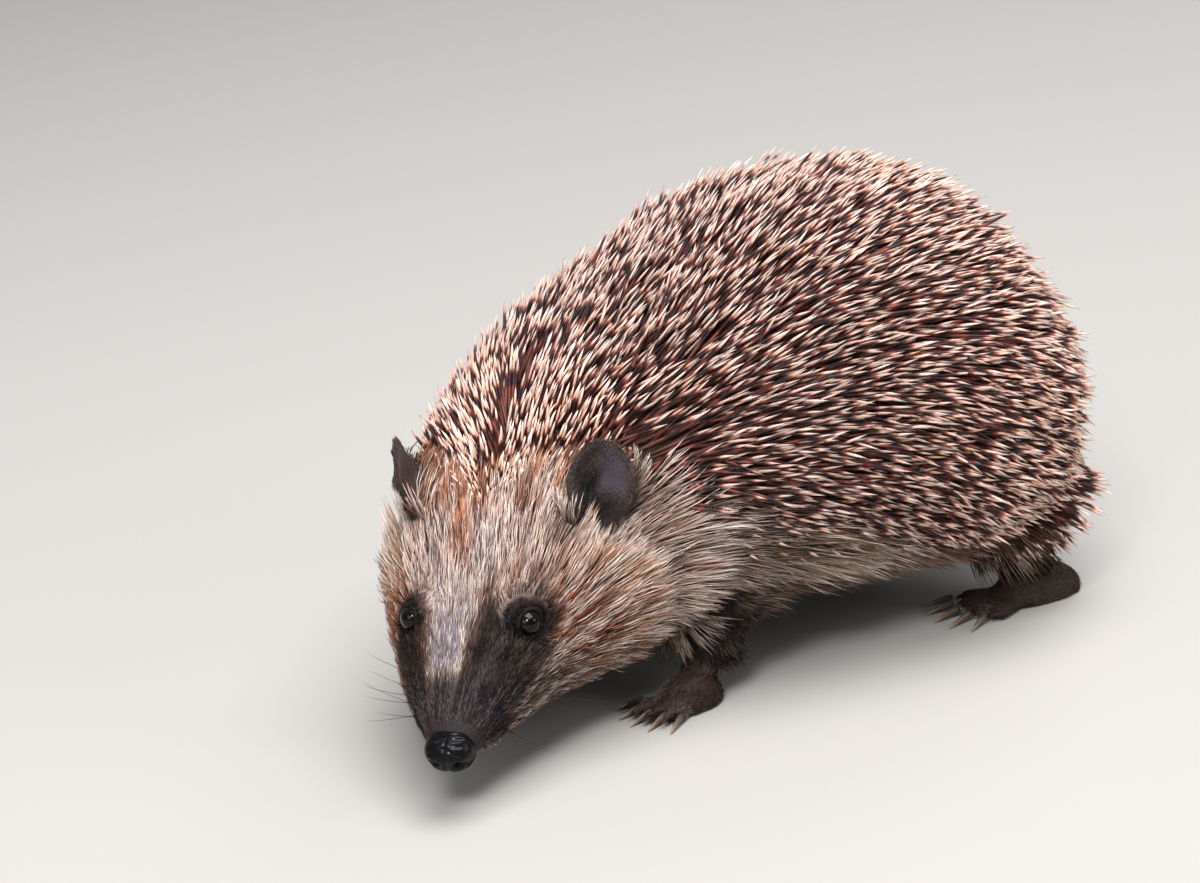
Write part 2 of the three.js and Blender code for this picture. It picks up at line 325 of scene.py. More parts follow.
def ear_leaf(side):
    """A thick rounded leaf, hollowed towards its opening, standing where the ear solid stands."""
    bpy.ops.mesh.primitive_grid_add(x_subdivisions=22, y_subdivisions=26, size=2)
    leaf = bpy.context.object
    flat = read(leaf.data.vertices, "co")
    a, b = flat[:, 0], flat[:, 1]
    wide, high = a * np.sqrt(1 - b * b / 2), b * np.sqrt(1 - a * a / 2)
    front = wide * SIDES[side]
    hollow = -EAR["cup"] * (1 - wide**2 - 0.5 * np.maximum(high, 0) ** 2 - 0.1 * high**2)
    # the front edge is laid back on the head, and a low fold crosses the hollow
    hollow -= 2.2 * MM * ease(front, 0.4, 1) * ease(-high, 0, 0.6)
    fold = 0.9 * MM * np.exp(-(((front + 0.12 - 0.3 * high) / 0.16) ** 2))
    hollow += fold * band(high, -0.5, 0.35, 0.25)
    centre, across, opening, along = ear_frame(side)
    narrow = 1 - 0.3 * ease(-high, -0.3, 0.9)
    half = EAR["half"] * narrow * (1 + 0.1 * ease(high, 0, 0.8))
    shift = SIDES[side] * EAR["half"] * (1 - narrow) * 0.8
    place = across * (wide * half - shift)[:, None] + opening * hollow[:, None]
    put_vertices(leaf.data, centre + place + along * (high * (EAR["tall"] - 0.6 * MM))[:, None])
    apply_modifier(leaf, "SOLIDIFY", thickness=EAR["thick"], offset=0)
    leaf.name = f"ear_leaf_{side}"
    return leaf


def tree_of(mesh):
    """A mesh's faces, ready to be searched, and the corners of its box."""
    form = bmesh.new()
    form.from_mesh(mesh)
    tree = BVHTree.FromBMesh(form)
    form.free()
    points = read(mesh.vertices, "co")
    return tree, points.min(0), points.max(0)


ear_leaves = [ear_leaf(side) for side in SIDES]
NEIGHBOURS = {
    "ears": [tree_of(leaf.data) for leaf in ear_leaves],
    "legs": [tree_of(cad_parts[name].data) for name in LEGS],
    "feet": [tree_of(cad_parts[name].data) for name in FEET],
    "tail": [tree_of(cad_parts["tail"].data)],
    "nose": [tree_of(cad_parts["nose"].data)],
}
# how near in mm counts as on the part, and how far as off it; the skin lies under the solids
REACH = {"ears": (1.1, 2.4), "legs": (3.2, 6.5), "feet": (1.6, 3.4), "tail": (1.8, 4.0), "nose": (1.1, 2.2)}


def nearness(points, part):
    """1 on a part, easing to 0 away from it."""
    full, none = (reach * MM for reach in REACH[part])
    distance = np.full(len(points), none)
    for tree, low, high in NEIGHBOURS[part]:
        inside = np.all((points > low - none) & (points < high + none), axis=1)
        for i in np.nonzero(inside)[0]:
            found = tree.find_nearest(points[i], none)[3]
            if found is not None and found < distance[i]:
                distance[i] = found
    return 1 - ease(distance, full, none)


def near_parts(points):
    return {part: nearness(points, part) for part in NEIGHBOURS}


# millimetres, as in the solids of the feet
TOES = {
    "fore": {"half": 6.4, "length": 21, "heel": 6, "toe": 8.5, "toe_half": 2.3, "claw": 7.6},
    "hind": {"half": 6.8, "length": 29, "heel": 12, "toe": 9, "toe_half": 2.4, "claw": 7.8},
}
TOE_SPREAD = (-26, -12, 0, 12, 26)  # degrees
TOE_SHARE = (0.72, 0.93, 1.0, 0.93, 0.74)  # length of each toe as a share of the longest
# degrees that each foot turns to the animal's left
FOOT_YAW = {"foreleg_left": 10, "foreleg_right": 28, "hindleg_left": -2, "hindleg_right": 8}


def ankle_of(leg):
    points = node_points(leg)
    return middle(points[points[:, 2] < points[:, 2].min() + 1 * MM])


def claw_places(leg):
    """The turn of each claw from pointing along -Y, and the place of its root."""
    size, ankle, yaw = TOES[leg[:4]], ankle_of(leg), math.radians(FOOT_YAW[leg])
    places = []
    for i, (spread, share) in enumerate(zip(TOE_SPREAD, TOE_SHARE)):
        root = Vector((size["half"] * 0.34 * (i - 2), size["heel"] - size["length"] + 4.5, 0))
        turn = Matrix.Rotation(yaw + math.radians(spread), 3, "Z")
        start = Matrix.Rotation(yaw, 3, "Z") @ root
        start -= turn.col[1] * (size["toe"] * share + size["toe_half"] * 0.35)
        start.z = size["toe_half"] * 0.95
        places.append((np.array(turn), np.array([ankle[0], ankle[1], 0]) + np.array(start) * MM))
    return places


# ---- skin ----
FLESH = ["trunk", "neck", "head", "muzzle", "lower_jaw", "tail", *LEGS, *FEET]
SWELL = 0.4 * MM  # closes the gaps between the solids, and is taken off again later
WELD = 0.002 * MM
SKIN_GRAIN = 0.9 * MM  # size of the skin's faces
FINE_ROUND_EYES = 7  # millimetres from the middle of an eye
# coat depth over the flanks and belly: millimetres back from the nose, millimetres deep
COAT_DEPTH = (
    (0, 0.7), (16, 0.9), (28, 1.3), (36, 2.2), (44, 3.8), (56, 5.6), (72, 7.6), (96, 8.6), (260, 8.6),
)
# millimetres of coat among the spines and on the parts
SPINE_DEPTH = 9.0
PART_DEPTH = {"ears": 0.0, "legs": 2.0, "feet": 0.2, "tail": 0.7, "nose": 1.1}
EYE_OPEN = 2.8 * MM  # half the opening between the lids
EYE_BALL = 3.1 * MM
LID_SPREAD = 5.6 * MM
LID_GAP = 0.3 * MM  # how far a lid stands out from the ball at its edge
SOCKET_GAP = 0.8 * MM  # how far the skin keeps behind the part of the ball that shows
MOUTH_DEEP = 0.9 * MM
# how far round from the spine line the spines reach, in degrees, by millimetres from the nose
SPINE_EDGE = (
    (54, -8), (58, 6), (61, 19), (66, 32), (70, 44), (72, 60), (75, 76), (82, 90), (108, 108),
    (124, 117), (155, 129), (182, 136), (214, 137), (235, 126), (262, 108),
)


def beyond_spines(body):
    """Degrees from a point to the edge of the spines, positive among them."""
    return np.interp(body["run"], *zip(*SPINE_EDGE)) - body["round"]


def flesh_form():
    """Copies of the flesh solids, merged, swollen into each other and drawn over by one mesh."""
    bpy.ops.object.select_all(action="DESELECT")
    for name in [*FLESH, "nose"]:
        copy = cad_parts[name].copy()
        copy.data = copy.data.copy()
        copy.name = f"flesh_{name}"
        bpy.context.scene.collection.objects.link(copy)
        copy.select_set(True)
        bpy.context.view_layer.objects.active = copy
    bpy.ops.object.join()
    skin = bpy.context.object
    bpy.ops.object.mode_set(mode="EDIT")
    bpy.ops.mesh.select_all(action="SELECT")
    bpy.ops.mesh.remove_doubles(threshold=WELD)
    bpy.ops.transform.shrink_fatten(value=SWELL)
    bpy.ops.object.mode_set(mode="OBJECT")
    for leaf in ear_leaves:
        leaf.select_set(True)
    bpy.ops.object.join()
    skin.name = "skin"
    skin.data.name = "skin"
    apply_modifier(skin, "REMESH", mode="VOXEL", voxel_size=SKIN_GRAIN)
    apply_modifier(skin, "SMOOTH", factor=0.5, iterations=4)
    return skin


def sink_to_skin(skin):
    """Moves the outline in by the depth of the coat."""
    points = read(skin.data.vertices, "co")
    body = on_body(points)
    depth = np.interp(body["run"], *zip(*COAT_DEPTH))
    spined = ease(beyond_spines(body), -8, 10) * ease(body["run"], 56, 74)
    depth = depth + (SPINE_DEPTH - depth) * spined
    for part, near in near_parts(points).items():
        depth = depth + (PART_DEPTH[part] - depth) * near
    normals = read(skin.data.vertices, "normal")
    put_vertices(skin.data, points - normals * (depth * MM + SWELL)[:, None])
    apply_modifier(skin, "CORRECTIVE_SMOOTH", factor=0.5, iterations=4, use_only_smooth=True)


def thin_under_coat(skin):
    """Fewer and larger faces where the coat hides the skin, finer ones round the eyes."""
    points = read(skin.data.vertices, "co")
    body = on_body(points)
    covered = ease(body["run"], 42, 60)
    near = near_parts(points)
    covered = covered * (1 - np.maximum.reduce([near["ears"], near["feet"], near["legs"] * 0.5]))
    group = skin.vertex_groups.new(name="covered")
    for i in np.nonzero(covered > 0.02)[0].tolist():
        group.add([i], float(covered[i]), "REPLACE")
    apply_modifier(skin, "DECIMATE", ratio=0.5, vertex_group="covered", vertex_group_factor=1.0)
    skin.vertex_groups.clear()
    near_eyes = eye_distance(read(skin.data.vertices, "co")) < FINE_ROUND_EYES
    select_only(skin)
    bpy.ops.object.mode_set(mode="EDIT")
    bpy.ops.mesh.select_mode(type="VERT")
    bpy.ops.mesh.select_all(action="DESELECT")
    bpy.ops.object.mode_set(mode="OBJECT")
    skin.data.vertices.foreach_set("select", near_eyes)
    bpy.ops.object.mode_set(mode="EDIT")
    bpy.ops.mesh.subdivide(number_cuts=2, smoothness=0)
    bpy.ops.mesh.vertices_smooth(factor=0.5, repeat=3)
    bpy.ops.object.mode_set(mode="OBJECT")


def form_lids(points):
    """Raises a lid round each eyeball and keeps the skin behind the part of the ball that shows."""
    for side in SIDES:
        centre, (out, back) = eye_centre(side), eye_way(side)
        away = points - centre
        height = away @ out
        flat = away - height[:, None] * out
        along = unit(back - out * (back @ out))
        lengthwise = flat @ along
        crosswise = np.sqrt(np.maximum((flat**2).sum(1) - lengthwise**2, 0))
        # the opening is a little longer than it is high, with a point towards the nose
        spread = np.hypot(crosswise * 1.07, lengthwise * np.where(lengthwise < 0, 0.88, 0.97))
        near = (spread < LID_SPREAD) & (height > -4.5 * MM)
        ball = np.sqrt(np.maximum(EYE_BALL**2 - np.minimum(spread, EYE_BALL) ** 2, 0))
        margin = math.sqrt(EYE_BALL**2 - EYE_OPEN**2) + LID_GAP
        lid = margin - 0.3 * np.maximum(spread - EYE_OPEN, 0)
        behind = ball - SOCKET_GAP
        edge = ease(spread, EYE_OPEN - 0.12 * MM, EYE_OPEN + 0.15 * MM)
        wanted = behind + (lid - behind) * edge
        wanted = wanted + (height - wanted) * ease(spread, EYE_OPEN + 0.6 * MM, LID_SPREAD)
        points[near] += (wanted - height)[near, None] * out
    return points


def clear_claws(points):
    """Draws the skin back from the claws, which are pieces of their own, to the ends of the toes."""
    for leg in LEGS:
        for turn, place in claw_places(leg):
            way = -turn[:, 1]
            away = points - place
            ahead = away @ way / MM
            aside = away - (away @ way)[:, None] * way
            beside = np.linalg.norm(aside + (0, 0, 1.2 * MM), axis=1) < 2.6 * MM
            amount = ease(ahead, -0.2, 0.9) * (beside & (ahead > -0.2) & (ahead < 11))
            points -= way * (amount * ahead * MM)[:, None] + aside * (0.35 * amount)[:, None]
    return points


def on_mouth(body, half):
    """1 along the line between the upper lip and the lower jaw, which turns up at its corner."""
    level = body["up"] + 3.6 - 0.05 * np.maximum(body["run"] - 14, 0) ** 1.4
    return np.exp(-((level / half) ** 2)) * band(body["run"], 5, 25, 2) * (body["up"] < 0)


def carve_mouth(points, body):
    """Sinks the line of the mouth into the skin."""
    inward = -unit(body["left"] * body["across"][:, None] + body["dorsal"] * body["up"][:, None])
    return points + inward * (MOUTH_DEEP * on_mouth(body, 0.6))[:, None]


def make_skin(material):
    """The animal's one skin, from its solids to its finished colours."""
    skin = flesh_form()
    sink_to_skin(skin)
    thin_under_coat(skin)
    points = read(skin.data.vertices, "co")
    points = clear_claws(form_lids(carve_mouth(points, on_body(points))))
    put_vertices(skin.data, points)
    select_only(skin)
    bpy.ops.object.shade_smooth()
    colour_skin(skin)
    skin.data.materials.clear()
    skin.data.materials.append(material)
    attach(skin, "root")
    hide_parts(*FLESH, "ear_left", "ear_right")
    return skin


# ---- colours of the pelt ----
PELT = {
    # the flank's own colour, set a little darker as painted shade of the lower flank
    "flank": "#a8937f",
    "flank_rear": "#a07b6b",
    # the belly's own dark colour, also laid as painted shade low on the flank and under the head
    "belly": "#6e564c",
    # painted shade: dark brown among the spines, where they shade the skin and the hair
    "shade_under_spines": "#5d4034",
    "ruff": "#ecd8cd",
    "cheek": "#d9b69f",
    "behind_eye": "#a8705a",
    "forehead": "#dcbfb4",
    "crown": "#c08a70",
    "rust_patch": "#c47d54",
    "blaze": "#e6d8d4",
    "blaze_low": "#918d9a",
    "bridge_side": "#7d574b",
    "mask": "#0f090f",
    "mask_low": "#1a1219",
    "lip": "#6b5d59",
    "muzzle_end": "#201a22",
    "chin": "#7b6a60",
    "leg": "#332723",
    "foot": "#42332e",
    "tail": "#4c392f",
    "ear": "#4d403c",
    # painted shade deep in the ear's hollow
    "ear_hollow_shade": "#120d0f",
    # painted sheen: blue-grey, where the back of the ear's hollow catches the light
    "ear_painted_sheen": "#605b66",
    "lid": "#140e0f",
}
PELT = {key: np.array(linear(value)) for key, value in PELT.items()}


def ear_place(points, side):
    """Where points lie on an ear: towards its front edge, up it and out of its opening, in shares
    of its half sizes."""
    centre, across, opening, along = ear_frame(side)
    away = points - centre
    front = away @ across * SIDES[side] / EAR["half"]
    return front, away @ along / EAR["tall"], away @ opening / EAR["cup"]


def face_markings(lay, body, rough, run, turn):
    """The mask, the blaze and the end of the muzzle, which lie a little to the animal's right."""
    aside = 4.0 * ease(body["run"], 4, 16) * (1 - ease(body["run"], 45, 70))
    across = np.abs(body["across"] + aside) + 0.5 * rough
    up, points = body["up"], body["points"]
    # dark mask: round the eye and down the side of the muzzle
    inner = np.interp(run, (6, 14, 22, 32), (3.6, 3.7, 4.4, 6.8))
    outer = np.interp(run, (6, 14, 24, 31, 36), (96, 104, 98, 84, 66))
    muzzle_side = band(run, 8, 32, 3) * ease(across - inner, -1.6, 1.6) * (1 - ease(turn - outer, -14, 12))
    far = eye_distance(points) + 1.1 * rough
    round_eye = 1 - ease(far, 5.2, 9.4)
    lay("behind_eye", band(far, 6.5, 11.5, 1.5) * ease(turn, 56, 74) * ease(run, 29, 34) * 0.6)
    lay("mask", np.maximum(muzzle_side * 0.9, round_eye))
    patches = ease(ripple(points + 0.5, 3.5 * MM), -0.3, 0.5)
    lay("mask_low", muzzle_side * ease(far, 7, 12) * (0.25 + 0.6 * patches))
    lay("behind_eye", muzzle_side * ease(far, 6, 9) * ease(turn, 78, 94) * (1 - patches) * 0.35)
    lay("lip", band(run, 3, 30, 4) * ease(turn - outer, -22, 6) * 0.75)
    # pale blaze up the middle of the face, widening on the forehead
    half = np.interp(run, (6, 12, 20, 32, 46, 56), (3.0, 3.1, 3.4, 5.2, 11.0, 14.0))
    stripe = (1 - ease(across - half, -1.9, 1.9)) * (up > 0)
    lay("bridge_side", (1 - ease(across - half, 1.5, 4)) * (up > 0) * band(run, 18, 40, 4) * 0.55)
    lay("blaze", stripe * band(run, 16, 50, 4) * 0.9)
    lay("blaze_low", stripe * band(run, 16, 29, 4) * 0.85)
    lay("bridge_side", band(run, 34, 54, 5) * ease(body["across"], 5, 14) * (1 - ease(turn, 50, 66)) * 0.3)
    middle_patch = 1 - ease(across + 0.6 * rough, 1.4, 4.2)
    lay("rust_patch", middle_patch * band(run, 40, 56, 4) * (up > 0) * 0.75)
    top = ease(up, -1, 2)
    lay("muzzle_end", (1 - ease(run, 8 + 3 * top, 12 + 5 * top)) * 0.95)
    lay("chin", (1 - ease(run, 32, 44)) * ease(turn, 104, 128))
    lay("lid", np.maximum(1 - ease(eye_distance(points), 3.3, 4.0), 0.9 * on_mouth(body, 0.8)))


def ear_markings(lay, body, near):
    """Painted shade in each ear's hollow, dark along a slit and over the lower lobe, and a painted
    blue-grey sheen over its back part.
    """
    for side in SIDES:
        front, high, out = ear_place(body["points"], side)
        on_side = body["across"] * SIDES[side] > 0
        within = near * on_side * (1 - ease(np.hypot(front, high), 0.72, 0.95))
        inside = within * (out > -1.25 + 0.9 * front**2)
        # painted sheen over the back and top of the hollow
        lay("ear_painted_sheen", inside * ease(-front, -0.1, 0.45) * ease(high, -0.4, 0.1) * 0.9)
        # painted shade along the slit and over the lower lobe
        slit = band(front, -0.15, 0.5, 0.2) * (1 - ease(high, 0.15, 0.5))
        lay("ear_hollow_shade", inside * np.maximum(slit, 0.6 * (1 - ease(high, -0.6, -0.2))) * 0.95)


def pelt_colour(body, near):
    """The animal's markings, the same for the skin and for the coat."""
    points = body["points"]
    rough = ripple(points, 5 * MM) + 0.5 * ripple(points, 1.8 * MM)
    run, turn = body["run"] + 1.6 * rough, body["round"] + 3.0 * rough
    colour = np.tile(PELT["flank"], (len(run), 1))

    def lay(name, amount):
        """Blends one of the pelt's colours in."""
        colour[:] = colour + (PELT[name] - colour) * np.clip(amount, 0, 1)[:, None]

    lay("flank_rear", ease(run, 120, 215) * 0.85)
    # the belly's own dark colour, reaching up the lower flank partly as painted shade
    lay("belly", ease(turn, 116, 140))
    lay("ruff", band(run, 50, 108, 9) * band(turn, 58, 136, 12))
    lay("cheek", band(run, 34, 54, 5) * ease(turn, 46, 60) * (1 - ease(turn, 112, 140)))
    lay("behind_eye", band(run, 31, 42, 3.5) * band(turn, 62, 108, 9))
    # painted shade: the belly's dark colour laid low on the cheek and neck, under the head
    lay("belly", band(run, 28, 62, 8) * ease(turn, 98, 122) * 0.55)
    lay("forehead", band(run, 34, 62, 5) * (1 - ease(turn, 50, 70)))
    lay("crown", band(run, 53, 76, 5) * (1 - ease(turn, 34, 52)) * 0.9)
    # painted shade among the spines
    lay("shade_under_spines", ease(beyond_spines(body), 3, 13) * ease(run, 58, 68))
    face_markings(lay, body, rough, run, turn)
    for part, name in (("legs", "leg"), ("feet", "foot"), ("tail", "tail"), ("ears", "ear")):
        lay(name, near[part])
    ear_markings(lay, body, near["ears"])
    return colour


def colour_skin(skin):
    """The markings, deepened where the coat shades the skin."""
    body = on_body(read(skin.data.vertices, "co"))
    near = near_parts(body["points"])
    covered = ease(body["run"], 34, 52) * (1 - np.maximum(near["ears"], near["feet"]))
    set_attribute(skin.data, "pelt", pelt_colour(body, near) * (1 - 0.5 * covered)[:, None])


# ---- rods: every hair and spine is a copy of one drawn here ----


def drawn_rod(sides, rings):
    """One straight closed rod, drawn up ring by ring from its root to a point. Each ring is its
    height up the rod and its half thickness, as shares of the whole. patch is each corner's place
    on the rod's own patch of the coat's map, and cost is its number of triangles."""
    bpy.ops.object.select_all(action="DESELECT")
    bpy.ops.mesh.primitive_circle_add(vertices=sides, radius=rings[0][1], fill_type="NGON")
    rod = bpy.context.object
    bpy.ops.object.mode_set(mode="EDIT")
    bpy.ops.mesh.select_all(action="SELECT")
    for (low, thick), (high, thin) in zip(rings, rings[1:]):
        bpy.ops.mesh.extrude_region_move(TRANSFORM_OT_translate={"value": (0, 0, high - low)})
        if thin > 0:
            bpy.ops.transform.resize(value=(thin / thick, thin / thick, 1))
    bpy.ops.mesh.merge(type="CENTER")
    bpy.ops.mesh.select_all(action="SELECT")
    bpy.ops.mesh.normals_make_consistent(inside=False)
    bpy.ops.object.mode_set(mode="OBJECT")
    points = read(rod.data.vertices, "co")
    faces = [list(p.vertices) for p in rod.data.polygons]
    bpy.data.meshes.remove(rod.data)
    corners = np.concatenate(faces)
    around = (np.degrees(np.arctan2(points[corners, 1], points[corners, 0])) / 360) % 1
    start = 0
    for face in faces:
        part = around[start : start + len(face)]
        part[part < part.max() - 0.5] += 1
        tip = np.hypot(*points[face, :2].T) < 1e-6
        if tip.any() and not tip.all():
            part[tip] = part[~tip].mean()
        start += len(face)
    sizes = np.array([len(face) for face in faces])
    patch = np.stack([around / 2, points[corners, 2]], 1)
    return {"points": points, "corners": corners, "sizes": sizes, "patch": patch, "cost": (sizes - 2).sum()}


def plant(name, rod, hairs, patch, material):
    """Copies the rod along every hair's line, and joins the copies in as few pieces as fit."""
    count = len(hairs["root"])
    pieces = max(1, math.ceil(count * rod["cost"] / TRIANGLES_IN_A_PIECE))
    lot = rng.permutation(count) % pieces
    for k in range(pieces):
        part = {key: values[lot == k] for key, values in hairs.items()}
        label = name if pieces == 1 else f"{name}_{k + 1}"
        plant_piece(label, rod, part, patch, material)


def plant_piece(name, rod, hairs, patch, material):
    """One piece of coat. Each hair runs from its root by its reach, curved by its bend, and is
    drawn towards its lock's line by its gather."""
    x, y, z = rod["points"].T
    count, per = len(hairs["root"]), len(z)
    t = z[None, :, None]

    def line(which=""):
        root, reach, bend = (hairs[key + which][:, None] for key in ("root", "reach", "bend"))
        return root + reach * t + bend * t**2

    points = line()
    if "root_of_lock" in hairs:
        points = points + (line("_of_lock") - points) * hairs["gather"][:, None, None] * t**1.4
    forward = unit(hairs["reach"])
    side = unit(np.cross(forward, hairs["normal"]))
    up = np.cross(side, forward)
    roll = rng.uniform(0, 2 * math.pi, count)[:, None]
    side, up = side * np.cos(roll) + up * np.sin(roll), up * np.cos(roll) - side * np.sin(roll)
    half = hairs["half"][:, None, None]
    points = points + half * (x[None, :, None] * side[:, None] - y[None, :, None] * up[:, None])
    mesh = bpy.data.meshes.new(name)
    mesh.vertices.add(count * per)
    mesh.vertices.foreach_set("co", points.astype(np.float32).ravel())
    loops = (np.arange(count)[:, None] * per + rod["corners"][None]).ravel()
    sizes = np.tile(rod["sizes"], count)
    mesh.loops.add(len(loops))
    mesh.loops.foreach_set("vertex_index", loops.astype(np.int32))
    mesh.polygons.add(len(sizes))
    mesh.polygons.foreach_set("loop_start", np.r_[0, np.cumsum(sizes)[:-1]].astype(np.int32))
    mesh.polygons.foreach_set("loop_total", sizes.astype(np.int32))
    mesh.update(calc_edges=True)
    mesh.polygons.foreach_set("use_smooth", np.ones(len(sizes), bool))
    coat_map = mesh.uv_layers.new(name="OFBake")
    uv = hairs["place"][:, None] + rod["patch"][None] * np.array(patch)
    coat_map.data.foreach_set("uv", uv.astype(np.float32).ravel())
    set_attribute(mesh, "along", np.tile(z, count))
    for key in ("pelt", "tone", "warm", "shift"):
        if key in hairs:
            set_attribute(mesh, key, np.repeat(hairs[key], per, axis=0))
    mesh.materials.append(material)
    piece = bpy.data.objects.new(name, mesh)
    bpy.context.scene.collection.objects.link(piece)
    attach(piece, "root")


# ---- roots on the skin ----
UNROLLED = (-6.0, 290.0)  # run of the body that the coat's map covers, in millimetres
HAIR_PATCH = (0.003, 0.003)  # most width and height of a hair's own patch on that map
SPINE_PATCH = (0.003, 0.006)


def unrolled(body):
    """A root's place on the body unrolled along its back: degrees round across, run upward."""
    u = 0.02 + 0.95 * (body["turn"] + 180) / 360
    v = 0.02 + 0.95 * (body["run"] - UNROLLED[0]) / (UNROLLED[1] - UNROLLED[0])
    return np.stack([u, v], 1)


def skin_form(skin):
    """The finished skin's triangles, ready for roots to be scattered on."""
    mesh = skin.data
    mesh.calc_loop_triangles()
    tris = read(mesh.loop_triangles, "vertices", 3, np.int32)
    points, normals = read(mesh.vertices, "co"), read(mesh.vertices, "normal")
    a, b, c = (points[tris[:, k]] for k in range(3))
    area = np.linalg.norm(np.cross(b - a, c - a), axis=1) / 2 / MM**2
    centre = (a + b + c) / 3
    return {"tris": tris, "points": points, "normals": normals, "area": area, "centre": centre}


def scatter(form, density):
    """Roots and skin normals, with density in roots per square millimetre at each triangle."""
    weight = form["area"] * density
    reach = np.cumsum(weight)
    pick = np.searchsorted(reach, rng.uniform(0, reach[-1], int(reach[-1])))
    u, v = rng.uniform(size=(2, len(pick)))
    flip = u + v > 1
    u[flip], v[flip] = 1 - u[flip], 1 - v[flip]
    corners = form["tris"][pick]
    share = np.stack([1 - u - v, u, v], 1)[:, :, None]
    root = (form["points"][corners] * share).sum(1)
    return root, unit((form["normals"][corners] * share).sum(1))


def spread_out(points, spacing):
    """Indices of points no nearer to each other than spacing."""
    cells, kept = {}, []
    keys = np.floor(points / spacing).astype(int).tolist()
    limit = spacing * spacing
    steps = [(i, j, k) for i in (-1, 0, 1) for j in (-1, 0, 1) for k in (-1, 0, 1)]
    for i, (p, (cx, cy, cz)) in enumerate(zip(points.tolist(), keys)):
        taken = False
        for dx, dy, dz in steps:
            for q in cells.get((cx + dx, cy + dy, cz + dz), ()):
                if (p[0] - q[0]) ** 2 + (p[1] - q[1]) ** 2 + (p[2] - q[2]) ** 2 < limit:
                    taken = True
                    break
            if taken:
                break
        if not taken:
            cells.setdefault((cx, cy, cz), []).append(p)
            kept.append(i)
    return np.array(kept)


def laid(way, normal, wander):
    """way laid flat on the skin and turned at random by about wander degrees."""
    flat = unit(way - normal * (way * normal).sum(1)[:, None])
    angle = np.radians(rng.normal(0, 1, len(way)) * wander)[:, None]
    return flat * np.cos(angle) + np.cross(normal, flat) * np.sin(angle)


# ---- spines ----
SPINE_SPACING = 1.22 * MM
CROWN_SPACING = 1.0 * MM
SPINE_LENGTH = 20 * MM
SPINE_HALF = 0.43 * MM  # half thickness at the middle
SPINE_RINGS = ((0, 0.5), (0.12, 0.88), (0.5, 1.0), (0.84, 0.8), (1, 0))
SPINE_TRIES = 3  # roots tried in a square millimetre, before they are thinned to their spacing
SPINE_ROOT = 0.8 * MM  # how deep a spine starts under the skin
TONE_TOP = 1.3  # tone of the palest spines, where the darkest have 0
DOWN = np.array([0, 0, -1.0])


def grow_spines(form, material):
    """Banded spines over the back, laid back and raised a little, shorter round their edge."""
    body = on_body(form["centre"])
    density = ease(beyond_spines(body), -2, 3) * (1 - nearness(form["centre"], "ears"))
    root, normal = scatter(form, density * SPINE_TRIES)
    crowded = (on_body(root)["run"] < 84) & (on_body(root)["round"] < 50)
    lots = [np.nonzero(crowded)[0], np.nonzero(~crowded)[0]]
    kept = [lot[spread_out(root[lot], gap)] for lot, gap in zip(lots, (CROWN_SPACING, SPINE_SPACING))]
    root, normal = root[np.concatenate(kept)], normal[np.concatenate(kept)]
    body = on_body(root)
    run, turn, side = body["run"], body["round"], np.sign(body["across"])
    count = len(root)
    crown = 1 - ease(run, 66, 100)
    rump = ease(run, 195, 250)
    edge = ease(beyond_spines(body), -3, 22)
    way = body["back"] + DOWN * (0.1 + 0.3 * ease(turn, 40, 95) + 1.0 * rump)[:, None]
    way += body["left"] * (side * 0.5 * crown * (1 - ease(turn, 20, 70)))[:, None]
    swirl, rise = ripple(root, 14 * MM), ripple(root + 0.3, 9 * MM)
    way += body["left"] * (0.16 * swirl)[:, None]
    lie = laid(way, normal, 10.0)
    front = (1 - ease(run, 62, 90)) * (1 - ease(turn, 30, 60))
    lift = 20 + 10 * crown + 26 * front + 3.5 * rise - 4 * (1 - edge)
    lift = np.radians(np.maximum(lift + rng.normal(0, 5, count), 6))[:, None]
    length = SPINE_LENGTH * rng.uniform(0.86, 1.06, count)
    length *= (0.5 + 0.5 * ease(run, 58, 96)) * (0.5 + 0.5 * edge)
    forward = lie * np.cos(lift) + normal * np.sin(lift)
    half = SPINE_HALF * rng.uniform(0.82, 1.1, count) * (0.72 + 0.28 * ease(run, 56, 88))
    paler = 0.4 * crown + 0.5 * ease(run, 125, 200) - 0.1 - 0.2 * ease(turn, 76, 112)
    spines = {
        "root": root - normal * SPINE_ROOT,
        "reach": forward * length[:, None],
        "bend": normal * length[:, None] * -0.03,
        "normal": normal,
        "half": half,
        "place": unrolled(body),
        "tone": np.clip(rng.uniform(0, 1, count) + paler, 0, TONE_TOP),
        "shift": rng.normal(0, 0.04, count) - 0.15 * front,
        "warm": np.clip(0.25 - ease(run, 62, 100) * 0.2 + rng.normal(0.1, 0.2, count), 0, 1),
    }
    plant("spines", drawn_rod(5, SPINE_RINGS), spines, SPINE_PATCH, material)


# ---- fur ----
NOSE_PAD = np.array((5.9, 4.9, 4.7))  # half its width, depth and height in millimetres
NOSE_BOXY = 0.86  # 1 would be an ellipsoid
NOSE_TAPER = 0.2  # how much narrower the pad is at its back
SHORT_HAIR = ((0, 1.0), (0.55, 0.8), (1, 0))
LONG_HAIR = ((0, 0.9), (0.3, 1.0), (0.65, 0.8), (1, 0))
# hair length on the head and body: millimetres back from the nose, millimetres long
HAIR_LENGTH = (
    (0, 1.6), (8, 2.2), (18, 3.0), (28, 5.4), (36, 9.5), (46, 13), (58, 16), (76, 19), (110, 21),
    (260, 22),
)
LOCK_LENGTHS = (0, 2.5, 5, 9, 14, 40)  # hairs gather only with others between the same two
LONG_FROM = 5.5  # millimetres from which a hair is planted as a long one
HAIR_ROOT = 0.25 * MM  # how deep a hair starts under the skin
FLOOR_GAP = 0.4 * MM  # least height of a hair's tip, before the hair is bent


